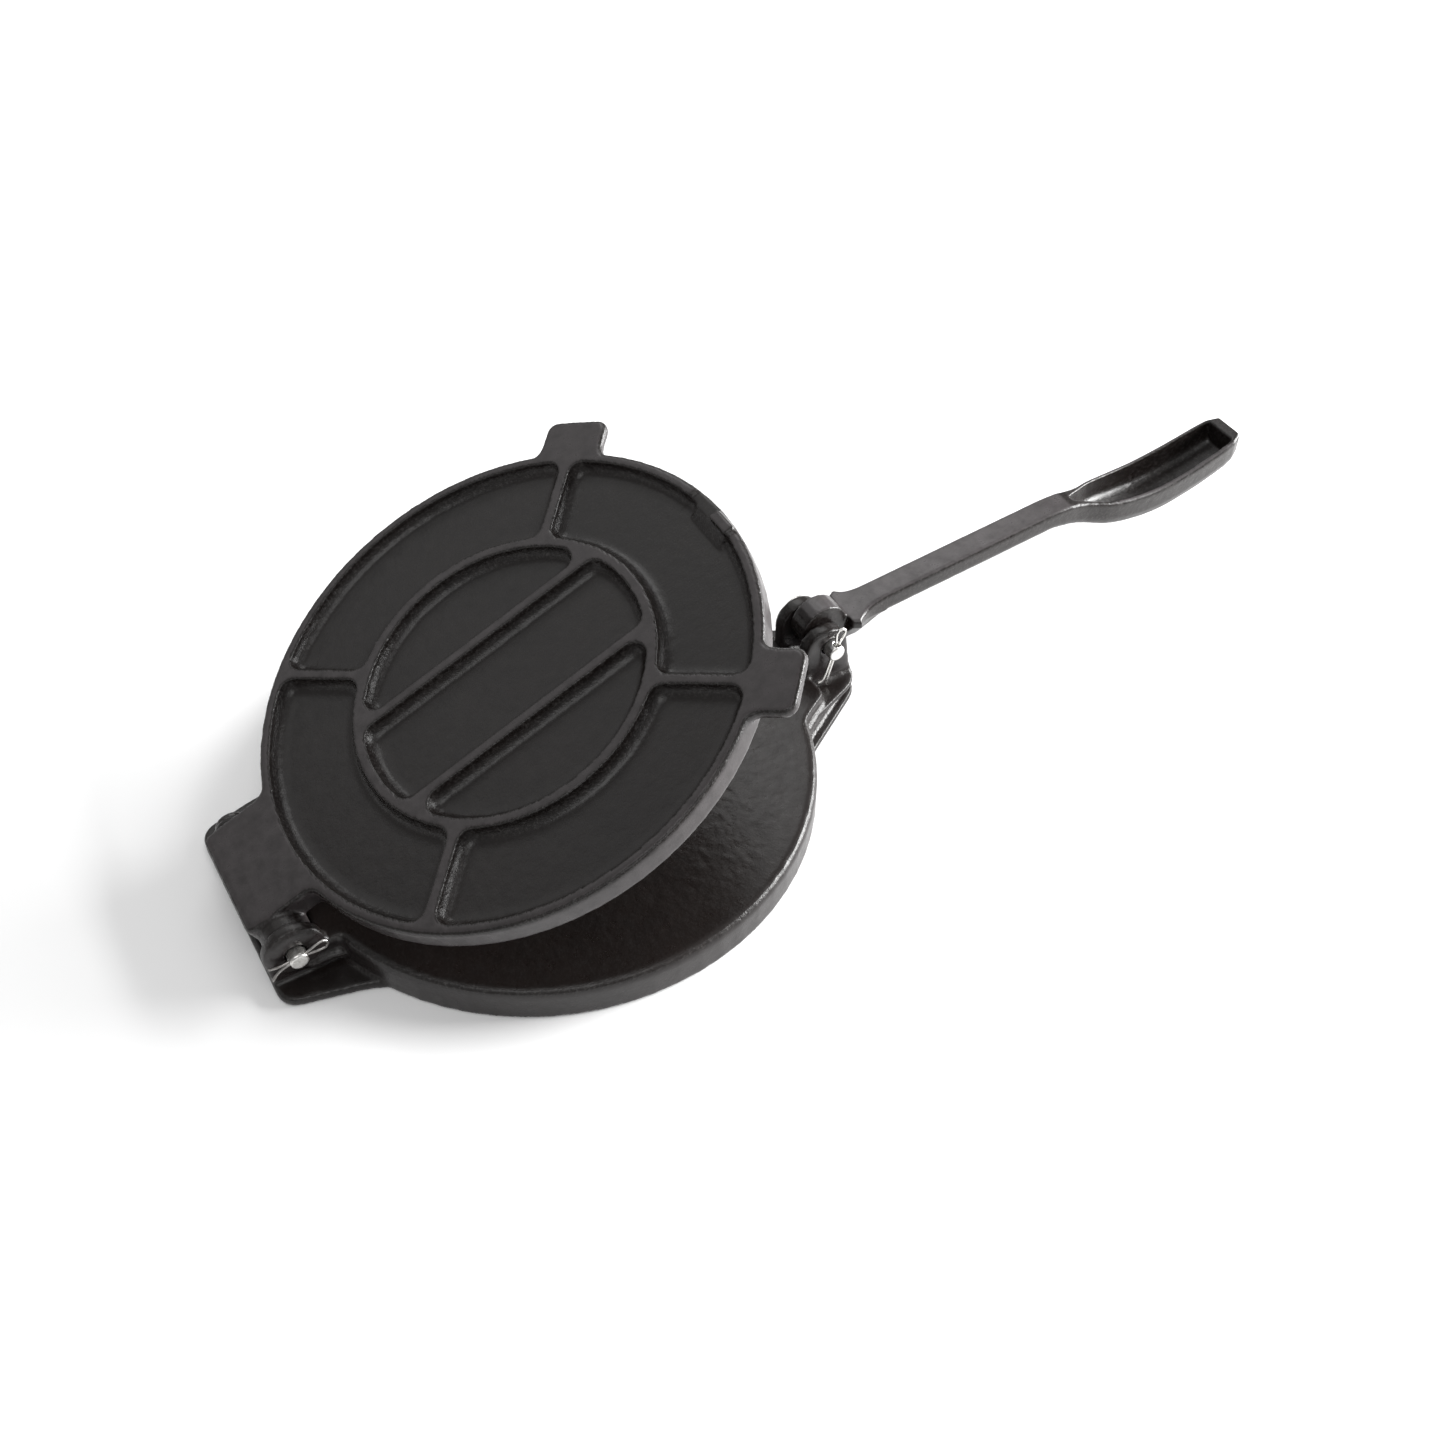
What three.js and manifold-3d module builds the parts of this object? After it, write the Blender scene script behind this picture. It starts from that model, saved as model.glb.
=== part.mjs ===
// Cast iron plantain press: two round plates hinged at the back, and a hand lever pinned in a fork
// at the front that presses the upper plate down. Millimetres, +Z up. The origin is the centre of
// the underside, and +X runs from the plate hinge to the lever.

import * as THREE from 'three';
import { mergeVertices } from 'three/addons/utils/BufferGeometryUtils.js';
import Module from 'manifold-3d';

const wasm = await Module();
wasm.setup();

const degree = Math.PI / 180;

// Fits and facets
const clearance = 0.3; // left between pieces that touch on the real press
const overrun = 6; // how far a cut runs past the face that it opens
const sagitta = 0.09; // how far a facet may lie inside its true arc
const bevelSteps = 2;

// Upper plate with its ribbed back, as it lies when closed
const plate = {
  radius: 82.5,
  thickness: 8.95,
  edge: 1.3,
  rimWidth: 3.7,
  ringOuter: 50,
  ribWidth: 3.7,
  bandHalfWidth: 15.8,
  pocketDepth: 4.5,
  pocketCorner: 4.4,
  pocketFillet: 2.8,
};
const opening = 22.97 * degree;

// Two thin lifting tabs on the upper plate, and the wide one that reaches back over the hinge
const liftTab = { standOff: 12.6, thickness: 3.8, halfWidth: 10.8, corner: 4, fillet: 6 };
const liftTabAngle = 45 * degree;
const hingeTab = { overhang: 8.28, backRound: 2.4, halfWidth: 20.6, corner: 4, fillet: 4 };

// Lower plate, a little wider than the upper one, with its press face, rim and ribbed underside
const base = {
  margin: 4.6,
  height: 12.65,
  edge: 2.6,
  footEdge: 0.8,
  faceThickness: 5.6,
  rimWidth: 5,
  ringOuter: 47,
  ribWidth: 4,
  bossRadius: 14,
  pocketCorner: 4.5,
  pocketFillet: 2.4,
};

// Place on the front rim where the lever bears: a shallow notch, a raised pad and a ramp behind it
const landing = {
  notchEnd: 12.5,
  padEnd: 9.4,
  notchDepth: 1,
  padHeight: 1.2,
  padInset: 4.7,
  padWidth: 3.7,
  rampLength: 4.6,
  rampHalfWidth: 8.5,
};

// Plate hinge: barrel under the upper plate, and on the lower one a bridge, an ear with a raised
// face beside the near end of the barrel, and a smaller ear close to the far side of the hinge tab
const hinge = {
  standOff: 7.62,
  axisDepth: 8.3,
  barrelRadius: 7.6,
  barrelGap: 0.5,
  earRadius: 9.4,
  earFoot: 8.2,
  earOuter: 29.6,
  earThickness: 3.8,
  faceRadius: 7.6,
  faceHeight: 0.8,
  farRadius: 6.4,
  farThickness: 2.8,
  bridgeFillet: 4,
  edge: 1.2,
};
const rearLedge = { setBack: 2, underside: 4.6, top: 7.2, halfWidth: 31.6, corner: 2, fillet: 12, edge: 0.9 };
const rearFlange = {
  standOff: 16.5,
  thickness: 3.3,
  halfWidth: 37.15,
  corner: 6.5,
  fillet: 30,
  taper: 13.8 * degree,
  edge: 0.9,
};

// Fork that carries the lever pin, with its crown a little behind and below the pin
const fork = {
  standOff: 14.5,
  rise: 10.15,
  radius: 8.2,
  crownBack: 1.5,
  crownDrop: 0.7,
  gap: 10.3,
  thickness: 5,
  footFillet: 2.6,
  edge: 0.9,
};

// Neck under the fork: flange, recessed web, ledge, and a tongue that runs back into the plate
const neck = {
  standOff: 24.3,
  corner: 11,
  fillet: 8,
  flangeThickness: 2.8,
  flangeHalfWidth: 13.15,
  flangeTaper: 32.3 * degree,
  webInset: 4,
  ledgeUnderside: 5.4,
  ledgeTop: 8,
  ledgeHalfWidth: 14.3,
  ledgeTaper: 21.5 * degree,
  tongueStandOff: 6.9,
  tongueCorner: 3.5,
  tongueHalfWidth: 18.7,
  tongueTaper: 30 * degree,
  tongueFillet: 20,
  edge: 0.9,
};

// Lever in its own frame: pin axis at the origin, arm along +X, face that presses the plate up
const leverRise = 4.67 * degree;
const lever = {
  armHalfWidth: 4.95,
  armTop: 4.76,
  armThickness: 7.6,
  armEnd: 96,
  armCorner: 0.9,
};
const hub = { radius: 8.7, offsetX: 1.6, offsetZ: 2.5, sideGap: 1.2, floorGap: 0.4 };
const shoulder = {
  heel: 8,
  backTop: 10.6,
  tip: 13,
  tipHalfWidth: 9.3,
  heelHalfWidth: 6.3,
  rootTop: 3.6,
  keelDepth: 7.05,
  keelHalfWidth: 3.8,
  tipThickness: 3,
  flareLength: 13,
  steepShare: 0.15,
  levelShare: 0.5,
};
const handle = {
  length: 83.5,
  halfWidth: 9.4,
  depth: 12.6,
  dip: 8.26,
  wall: 1.9,
  floor: 3.4,
  endWall: 3.7,
  hollowStart: 11,
  hollowTip: 13,
  tipStartShare: 0.04,
};
// Stations along the handle: place, half-width, dip of the rim and depth of the bowl, then roundness
const handleShares = [
  [0, 0.527, 0, 0.603, 0.32],
  [0.08, 0.527, 0.06, 0.7, 0.33],
  [0.14, 0.53, 0.2, 0.77, 0.37],
  [0.2, 0.6, 0.4, 0.84, 0.42],
  [0.29, 0.84, 0.67, 0.91, 0.45],
  [0.41, 0.957, 0.88, 0.97, 0.46],
  [0.55, 1, 1, 1, 0.46],
  [0.7, 0.98, 0.9, 1, 0.46],
  [0.85, 0.935, 0.68, 0.98, 0.46],
  [0.95, 0.86, 0.49, 0.94, 0.45],
  [1, 0.66, 0.41, 0.86, 0.43],
];
const handleStations = 22;
const sectionSteps = 10;

// Pins with a domed head on one side, and the split pins that hold them
const pin = {
  diameter: 6,
  boreDiameter: 6.6,
  headDiameter: 10.4,
  headHeight: 2.8,
  rimShare: 0.5,
  chamfer: 0.5,
};
const cotter = { wire: 1, legGap: 0.2, holePlay: 0.3, bendStart: 3.8, shortLegShare: 0.92 };
const cotterEye = { innerRadius: 1.3, distance: 7.6 };
const cotterSides = 7;
const cotterSteps = 2;
const domeSteps = 5;
const hingeCotter = {
  turn: 190 * degree,
  stickOut: 1.5,
  pinOverhang: 3.3,
  legReach: 9.4,
  longBend: 3.1,
  shortBend: 1.4,
  hook: 0,
};
const forkCotter = {
  turn: 254.6 * degree,
  stickOut: 2.3,
  pinOverhang: 4.1,
  ledgeGap: 1.1,
  tongueGap: 1,
  longBend: 0.2,
  shortBend: 0.1,
};

// Levels, reaches and axes that follow from the sizes above
const plateBottom = base.height + clearance;
const plateTop = plateBottom + plate.thickness;
const plateFloor = plateTop - plate.pocketDepth;
const plateRimInner = plate.radius - plate.rimWidth;
const liftReach = plate.radius + liftTab.standOff;
const baseRadius = plate.radius + base.margin;
const rootRadius = baseRadius - base.edge;
const hingeReach = baseRadius + hinge.standOff;
const hingeHeight = plateTop - hinge.axisDepth;
const hingeEarInner = hinge.earOuter - hinge.earThickness;
const hingeFace = hinge.earOuter + hinge.faceHeight;
const hingeFarInner = hingeTab.halfWidth + clearance;
const hingeFarFace = hingeFarInner + hinge.farThickness;
const neckReach = baseRadius + neck.standOff;
const tongueReach = baseRadius + neck.tongueStandOff;
const forkReach = baseRadius + fork.standOff;
const forkHeight = base.height + fork.rise;
const forkEarInner = fork.gap / 2;
const forkOuter = forkEarInner + fork.thickness;
const crownSweep = fork.radius + Math.hypot(fork.crownBack, fork.crownDrop);
const hubHalfWidth = forkEarInner - hub.sideGap;
const hubSweep = hub.radius + Math.hypot(hub.offsetX, hub.offsetZ);
const armBottom = lever.armTop - lever.armThickness;
const cotterHalf = (cotter.wire + cotter.legGap) / 2;
const flareEnd = shoulder.tip + shoulder.flareLength;
const spokeAngles = [-135, -45, 45, 135].map((angle) => angle * degree);
const crossAngles = [0, 90, 180, 270].map((angle) => angle * degree);

// Steps that keep an arc's facets within the sagitta
function arcSteps(radius, sweep) {
  const step = 2 * Math.acos(1 - Math.min(sagitta / radius, 0.5));
  return Math.max(1, Math.ceil(Math.abs(sweep) / step));
}

// Points of an arc about a centre, counterclockwise when the sweep is positive
function arc(x, y, radius, start, sweep) {
  const steps = arcSteps(radius, sweep);
  return Array.from({ length: steps + 1 }, (_, k) => {
    const angle = start + (sweep * k) / steps;
    return new THREE.Vector2(x + radius * Math.cos(angle), y + radius * Math.sin(angle));
  });
}

function turned(points, angle) {
  const origin = new THREE.Vector2();
  return points.map((point) => point.clone().rotateAround(origin, angle));
}

function mirrored(points) {
  return points.map((point) => new THREE.Vector2(point.x, -point.y)).reverse();
}

function withoutRepeats(points) {
  return points.filter((point, k) => point.distanceTo(points[(k + 1) % points.length]) > sagitta / 2);
}

// Closed mesh as a solid
function solid(geometry) {
  geometry.deleteAttribute('normal');
  geometry.deleteAttribute('uv');
  const merged = mergeVertices(geometry);
  const corners = [];
  for (let k = 0; k < merged.index.count; k += 3) {
    const [a, b, c] = [0, 1, 2].map((n) => merged.index.getX(k + n));
    if (a !== b && b !== c && c !== a) corners.push(a, b, c);
  }
  const vertProperties = merged.attributes.position.array;
  const triVerts = new Uint32Array(corners);
  return new wasm.Manifold(new wasm.Mesh({ numProp: 3, vertProperties, triVerts }));
}

// Outline in plan raised between two heights, with both rims rounded by the edge
function upright(outline, bottom, top, edge = 0) {
  const geometry = new THREE.ExtrudeGeometry(new THREE.Shape(withoutRepeats(outline)), {
    depth: top - bottom - 2 * edge,
    bevelEnabled: edge > 0,
    bevelThickness: edge,
    bevelSize: edge,
    bevelOffset: -edge,
    bevelSegments: bevelSteps,
  });
  geometry.translate(0, 0, bottom + edge);
  return solid(geometry);
}

// Outline in side view (X, Z) carried across from one side to the other, with rounded rims
function crosswise(outline, from, to, edge = 0) {
  const flat = upright(outline, -to, -from, edge);
  return flat.rotate([90, 0, 0]);
}

// Outline in front view (Y, Z) carried along X
function lengthwise(outline, from, to) {
  return upright(outline, from, to).rotate([90, 0, 90]);
}

function cylinderAcross(x, z, radius, from, to) {
  const segments = 2 * arcSteps(radius, Math.PI);
  const geometry = new THREE.CylinderGeometry(radius, radius, to - from, segments);
  geometry.translate(x, (from + to) / 2, z);
  return solid(geometry);
}

function block(fromX, toX, fromY, toY, fromZ, toZ) {
  const geometry = new THREE.BoxGeometry(toX - fromX, toY - fromY, toZ - fromZ);
  geometry.translate((fromX + toX) / 2, (fromY + toY) / 2, (fromZ + toZ) / 2);
  return solid(geometry);
}

// One side of a tab that grows from a disc: hollow fillet, flank and rounded outer corner
function tabSide(discRadius, tab) {
  const taper = tab.taper ?? 0;
  const normal = new THREE.Vector2(Math.sin(taper), Math.cos(taper));
  const along = new THREE.Vector2(Math.cos(taper), -Math.sin(taper));
  const flank = normal.x * tab.reach + normal.y * tab.halfWidth;
  const run = Math.sqrt((discRadius + tab.fillet) ** 2 - (flank + tab.fillet) ** 2);
  const filletX = normal.x * (flank + tab.fillet) + along.x * run;
  const filletY = normal.y * (flank + tab.fillet) + along.y * run;
  const cornerX = tab.reach - tab.corner;
  const cornerY = (flank - tab.corner - normal.x * cornerX) / normal.y;
  const turnIn = Math.atan2(-normal.y, -normal.x) + 2 * Math.PI;
  const turnOut = Math.atan2(filletY, filletX) + Math.PI;
  return [
    ...arc(cornerX, cornerY, tab.corner, 0, Math.PI / 2 - taper),
    ...arc(filletX, filletY, tab.fillet, turnIn, turnOut - turnIn),
  ];
}

// Disc outline with its tabs, which are given in order of their angles
function discWithTabs(discRadius, tabs) {
  const sides = tabs.map((tab) => ({ tab, side: tabSide(discRadius, tab) }));
  return sides.flatMap(({ tab, side }, k) => {
    const next = sides[(k + 1) % sides.length];
    const rootAngle = side.at(-1).angle();
    const nextAngle = next.side.at(-1).angle();
    const start = tab.angle + rootAngle;
    const turn = k + 1 < sides.length ? 0 : 2 * Math.PI;
    const end = next.tab.angle - nextAngle + turn;
    return [
      ...turned(mirrored(side), tab.angle),
      ...turned(side, tab.angle),
      ...arc(0, 0, discRadius, start, end - start),
    ];
  });
}

// Pocket between two ribs that run out from the centre, inside one circle and outside another
function sectorPocket(inner, outer, ribHalfWidth, corner, from, to) {
  const side = ribHalfWidth + corner;
  const outerX = Math.sqrt((outer - corner) ** 2 - side ** 2);
  const innerX = Math.sqrt((inner + corner) ** 2 - side ** 2);
  const outerTurn = Math.atan2(side, outerX);
  const innerTurn = Math.atan2(side, innerX);
  const firstHalf = [
    ...arc(innerX, side, corner, innerTurn + Math.PI, Math.PI / 2 - innerTurn),
    ...arc(outerX, side, corner, -Math.PI / 2, Math.PI / 2 + outerTurn),
  ];
  const lastHalf = mirrored(firstHalf);
  return [
    ...turned(firstHalf, from),
    ...arc(0, 0, outer, from + outerTurn, to - from - 2 * outerTurn),
    ...turned(lastHalf, to),
    ...arc(0, 0, inner, to - innerTurn, from - to + 2 * innerTurn),
  ];
}

// Pocket between a circle and a straight rib beside its centre
function segmentPocket(radius, rib, corner) {
  const level = rib + corner;
  const cornerX = Math.sqrt((radius - corner) ** 2 - level ** 2);
  const turn = Math.atan2(level, cornerX);
  return [
    ...arc(cornerX, level, corner, -Math.PI / 2, Math.PI / 2 + turn),
    ...arc(0, 0, radius, turn, Math.PI - 2 * turn),
    ...arc(-cornerX, level, corner, Math.PI - turn, Math.PI / 2 + turn),
  ];
}

// Pocket across the centre of a circle between two parallel ribs
function bandPocket(radius, halfWidth, corner) {
  const level = halfWidth - corner;
  const cornerX = Math.sqrt((radius - corner) ** 2 - level ** 2);
  const turn = Math.atan2(level, cornerX);
  const end = [
    ...arc(cornerX, -level, corner, -Math.PI / 2, Math.PI / 2 - turn),
    ...arc(0, 0, radius, -turn, 2 * turn),
    ...arc(cornerX, level, corner, turn, Math.PI / 2 - turn),
  ];
  return [...end, ...turned(end, Math.PI)];
}

// Rounded ear down to a foot, as a side view about the centre of its crown
function earOutline(radius, foot, backReach, frontReach) {
  const lean = (reach) => Math.acos(radius / Math.hypot(reach, foot)) - Math.atan2(foot, reach);
  const front = lean(frontReach);
  const back = Math.PI - lean(backReach);
  return [
    new THREE.Vector2(-backReach, -foot),
    new THREE.Vector2(frontReach, -foot),
    ...arc(0, 0, radius, front, back - front),
  ];
}

function moved(points, x, z) {
  return points.map((point) => new THREE.Vector2(point.x + x, point.y + z));
}

// Rings of points, each a closed section across X, joined into one closed body
function loft(rings) {
  const count = rings[0].length;
  const positions = rings.flat().flatMap((point) => [point.x, point.y, point.z]);
  const index = [];
  for (let r = 0; r + 1 < rings.length; r += 1) {
    for (let k = 0; k < count; k += 1) {
      const a = r * count + k;
      const b = r * count + ((k + 1) % count);
      index.push(a, b, b + count, a, b + count, a + count);
    }
  }
  const last = (rings.length - 1) * count;
  for (let k = 1; k + 1 < count; k += 1) {
    index.push(0, k + 1, k, last, last + k, last + k + 1);
  }
  const geometry = new THREE.BufferGeometry();
  geometry.setAttribute('position', new THREE.Float32BufferAttribute(positions, 3));
  geometry.setIndex(index);
  return solid(geometry);
}

// Lower plate: disc with ribbed underside, hinge bridge and ears behind, neck and fork in front
function basePockets() {
  const ceiling = base.height - base.faceThickness;
  const rib = base.ribWidth / 2;
  const ringInner = base.ringOuter - base.ribWidth;
  const rings = [
    [base.bossRadius, ringInner],
    [base.ringOuter, baseRadius - base.rimWidth],
  ];
  return crossAngles.flatMap((angle) => rings.map(([inner, outer]) => {
    const outline = sectorPocket(inner, outer, rib, base.pocketCorner, angle, angle + Math.PI / 2);
    return upright(outline, -overrun, ceiling, base.pocketFillet);
  }));
}

function baseDisc() {
  const bottom = arc(baseRadius - base.footEdge, base.footEdge, base.footEdge, -Math.PI / 2, Math.PI / 2);
  const top = arc(rootRadius, base.height - base.edge, base.edge, 0, Math.PI / 2);
  const axisFoot = new THREE.Vector2(0, 0);
  const axisTop = new THREE.Vector2(0, base.height);
  const profile = [axisFoot, ...bottom, ...top, axisTop];
  const geometry = new THREE.LatheGeometry(profile, 2 * arcSteps(baseRadius, Math.PI));
  return solid(geometry).rotate([90, 0, 0]);
}

// Rear of the lower plate: bridge up to the hinge, ledge at half height and flange at the foot
function rearLayers() {
  const layer = (tab) => discWithTabs(rootRadius, [{ ...tab, angle: Math.PI }]);
  const bridge = layer({
    reach: hingeReach,
    halfWidth: hinge.earOuter,
    corner: 2 * hinge.edge,
    fillet: hinge.bridgeFillet,
  });
  const ledge = layer({ ...rearLedge, reach: hingeReach - rearLedge.setBack });
  const flange = layer({ ...rearFlange, reach: baseRadius + rearFlange.standOff });
  return [
    upright(bridge, 0, base.height, hinge.edge),
    upright(ledge, rearLedge.underside, rearLedge.top, rearLedge.edge),
    upright(flange, 0, rearFlange.thickness, rearFlange.edge),
  ];
}

function hingeEars() {
  const foot = hingeHeight - rearFlange.thickness / 2;
  const edge = hinge.edge / 2;
  const near = moved(earOutline(hinge.earRadius, foot, hinge.earFoot, hinge.earRadius), -hingeReach, hingeHeight);
  const far = moved(earOutline(hinge.farRadius, foot, hinge.farRadius, hinge.farRadius), -hingeReach, hingeHeight);
  return [
    crosswise(near, -hinge.earOuter, -hingeEarInner, edge),
    cylinderAcross(-hingeReach, hingeHeight, hinge.faceRadius, -hingeFace, -hingeEarInner),
    crosswise(far, hingeFarInner, hingeFarFace, edge),
  ];
}

// Room for the barrel, for the plate's edge behind it when it opens, and for the pin's head
function hingeSpace() {
  const round = cylinderAcross(
    -hingeReach,
    hingeHeight,
    hinge.barrelRadius + hinge.barrelGap,
    -hingeEarInner,
    hingeFarInner,
  );
  const back = -hingeReach - hinge.earRadius - overrun;
  const top = base.height + overrun;
  const behind = block(back, -hingeReach, -hingeEarInner, hingeFarInner, rearFlange.thickness, top);
  const headRoom = block(back, -baseRadius, hingeFarFace, hinge.earOuter + overrun, rearLedge.top, top);
  return [round, behind, headRoom];
}

// Outline of one layer of the neck
function neckOutline(halfWidth, taper) {
  const { corner, fillet } = neck;
  return discWithTabs(rootRadius, [{ angle: 0, reach: neckReach, halfWidth, corner, fillet, taper }]);
}

function neckLayers() {
  const tongue = discWithTabs(rootRadius, [{
    angle: 0,
    reach: tongueReach,
    halfWidth: neck.tongueHalfWidth,
    corner: neck.tongueCorner,
    fillet: neck.tongueFillet,
    taper: neck.tongueTaper,
  }]);
  const flange = neckOutline(neck.flangeHalfWidth, neck.flangeTaper);
  const web = neckOutline(neck.flangeHalfWidth - neck.webInset, neck.flangeTaper);
  const ledge = neckOutline(neck.ledgeHalfWidth, neck.ledgeTaper);
  return [
    upright(flange, 0, neck.flangeThickness, neck.edge),
    upright(web, 0, neck.ledgeTop - neck.edge),
    upright(ledge, neck.ledgeUnderside, neck.ledgeTop, neck.edge),
    upright(tongue, neck.ledgeUnderside, base.height, neck.edge),
  ];
}

// Ear of the fork in side view about the pin axis, grown on all sides by a margin
function forkOutline(margin) {
  const radius = fork.radius + margin;
  const front = neckReach - forkReach + fork.crownBack + margin;
  const outline = earOutline(radius, forkHeight - fork.crownDrop, radius, front);
  return moved(outline, -fork.crownBack, -fork.crownDrop);
}

// Hollow fillet along the foot of both ears, where they stand on the ledge
function footFillet(side, ledge) {
  const radius = fork.footFillet;
  const outer = forkOuter + radius;
  const top = neck.ledgeTop + radius;
  const half = [...arc(outer, top, radius, Math.PI, Math.PI / 2), new THREE.Vector2(outer, neck.ledgeUnderside)];
  const profile = [...half, ...mirrored(turned(half, Math.PI))];
  const run = lengthwise(profile, rootRadius, neckReach);
  const rim = upright(ledge, neck.ledgeUnderside, top, neck.edge);
  return run.intersect(rim).intersect(crosswise(side, -outer, outer));
}

function forkParts() {
  const side = moved(forkOutline(0), forkReach, forkHeight);
  const ledge = neckOutline(neck.ledgeHalfWidth, neck.ledgeTaper);
  const envelope = crosswise(side, -forkOuter, forkOuter, fork.edge);
  const floor = upright(ledge, base.footEdge, base.height);
  const behind = block(0, forkReach, -forkOuter, forkOuter, base.footEdge, base.height);
  const gap = block(
    baseRadius,
    neckReach + overrun,
    -forkEarInner,
    forkEarInner,
    base.height,
    forkHeight + fork.radius + overrun,
  );
  return [behind, footFillet(side, ledge), floor.intersect(envelope), envelope.subtract(gap)];
}

function makeBase() {
  const parts = [baseDisc(), ...rearLayers(), ...hingeEars(), ...neckLayers(), ...forkParts()];
  const bore = pin.boreDiameter / 2;
  const cuts = [
    ...basePockets(),
    ...hingeSpace(),
    cylinderAcross(forkReach, forkHeight, hubSweep + hub.floorGap, -forkEarInner, forkEarInner),
    cylinderAcross(-hingeReach, hingeHeight, bore, -hingeFace - overrun, hingeFarFace + overrun),
    cylinderAcross(forkReach, forkHeight, bore, -forkOuter - overrun, forkOuter + overrun),
  ];
  const whole = parts.reduce((sum, part) => sum.add(part));
  return cuts.reduce((rest, cut) => rest.subtract(cut), whole);
}

// Upper plate: disc with tabs and hinge barrel, a ribbed back and the landing for the lever
function platePockets() {
  const { ribWidth, ringOuter, bandHalfWidth, pocketCorner } = plate;
  const ringInner = ringOuter - ribWidth;
  const outlines = [
    ...spokeAngles.map((angle) => (
      sectorPocket(ringOuter, plateRimInner, ribWidth / 2, pocketCorner, angle, angle + Math.PI / 2)
    )),
    bandPocket(ringInner, bandHalfWidth, pocketCorner),
    segmentPocket(ringInner, bandHalfWidth + ribWidth, pocketCorner),
    turned(segmentPocket(ringInner, bandHalfWidth + ribWidth, pocketCorner), Math.PI),
  ];
  const above = plateTop + overrun + plate.pocketFillet;
  return outlines.map((outline) => upright(outline, plateFloor, above, plate.pocketFillet));
}

// Side view of the whole upper plate, with the back of the hinge tab rounded down to the barrel
function plateSideOutline() {
  const round = hingeTab.backRound;
  const cornerZ = plateTop - round;
  const backToAxis = new THREE.Vector2(-hingeTab.overhang, cornerZ - hingeHeight);
  const lean = Math.acos(hinge.barrelRadius / backToAxis.length());
  const touch = turned([backToAxis.setLength(hinge.barrelRadius)], lean)[0];
  const front = plate.radius + overrun;
  return [
    new THREE.Vector2(touch.x - hingeReach, touch.y + hingeHeight),
    new THREE.Vector2(-hingeReach, plateBottom - overrun),
    new THREE.Vector2(front, plateBottom - overrun),
    new THREE.Vector2(front, plateTop),
    ...arc(round - hingeReach - hingeTab.overhang, cornerZ, round, Math.PI / 2, Math.PI / 2),
  ];
}

function landingParts() {
  const padOuter = plate.radius - landing.padInset + landing.padWidth;
  const pad = block(
    plate.radius - landing.padInset,
    padOuter,
    -landing.padEnd,
    0,
    plateFloor,
    plateTop + landing.padHeight,
  );
  const rampOutline = [
    new THREE.Vector2(plateRimInner - landing.rampLength, plateFloor),
    new THREE.Vector2(padOuter, plateFloor),
    new THREE.Vector2(padOuter, plateTop),
    new THREE.Vector2(plateRimInner, plateTop),
  ];
  const ramp = crosswise(rampOutline, -landing.rampHalfWidth, landing.rampHalfWidth);
  const notch = block(
    plateRimInner - landing.rampLength,
    plate.radius + overrun,
    0,
    landing.notchEnd,
    plateTop - landing.notchDepth,
    plateTop + overrun,
  );
  return { pad, ramp, notch };
}

// Disc with the hinge tab at full thickness, and the lifting tabs as a thin layer level with its top
function plateBody() {
  const backTab = { ...hingeTab, angle: Math.PI, reach: hingeReach + hingeTab.overhang };
  const sideTabs = [-liftTabAngle, liftTabAngle].map((angle) => ({ ...liftTab, angle, reach: liftReach }));
  const wide = plate.radius + overrun;
  const side = crosswise(plateSideOutline(), -wide, wide);
  const disc = upright(discWithTabs(plate.radius, [backTab]), plateBottom, plateTop, plate.edge);
  const tabs = discWithTabs(plate.radius - plate.edge, sideTabs);
  return disc.intersect(side).add(upright(tabs, plateTop - liftTab.thickness, plateTop, plate.edge));
}

function makePlate() {
  const { pad, ramp, notch } = landingParts();
  const near = clearance - hingeEarInner;
  const far = hingeTab.halfWidth;
  const barrel = cylinderAcross(-hingeReach, hingeHeight, hinge.barrelRadius, near, far);
  const boreRadius = pin.boreDiameter / 2;
  const bore = cylinderAcross(-hingeReach, hingeHeight, boreRadius, near - overrun, far + overrun);
  const hollowed = platePockets().reduce((rest, pocket) => rest.subtract(pocket), plateBody().add(barrel));
  return hollowed.add(ramp).subtract(notch).add(pad).subtract(bore).translate([hingeReach, 0, -hingeHeight]);
}

// Lever: hub with its eccentric boss, flared shoulders that stop against the fork, arm and handle
function shoulderSection(x, halfWidth) {
  const blend = (from, to) => (
    THREE.MathUtils.lerp(from, to, THREE.MathUtils.smoothstep(x, shoulder.tip, flareEnd))
  );
  const corner = lever.armCorner;
  const top = blend(shoulder.rootTop, lever.armTop);
  const side = blend(shoulder.rootTop - shoulder.tipThickness, armBottom + corner);
  const keel = blend(shoulder.keelHalfWidth, lever.armHalfWidth - corner);
  const bottom = blend(-shoulder.keelDepth, armBottom);
  const half = [[halfWidth - corner, top], [halfWidth, top - corner], [halfWidth, side], [keel, bottom]];
  return [
    ...half.map(([y, z]) => new THREE.Vector3(x, -y, z)),
    ...half.reverse().map(([y, z]) => new THREE.Vector3(x, y, z)),
  ];
}

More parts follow.
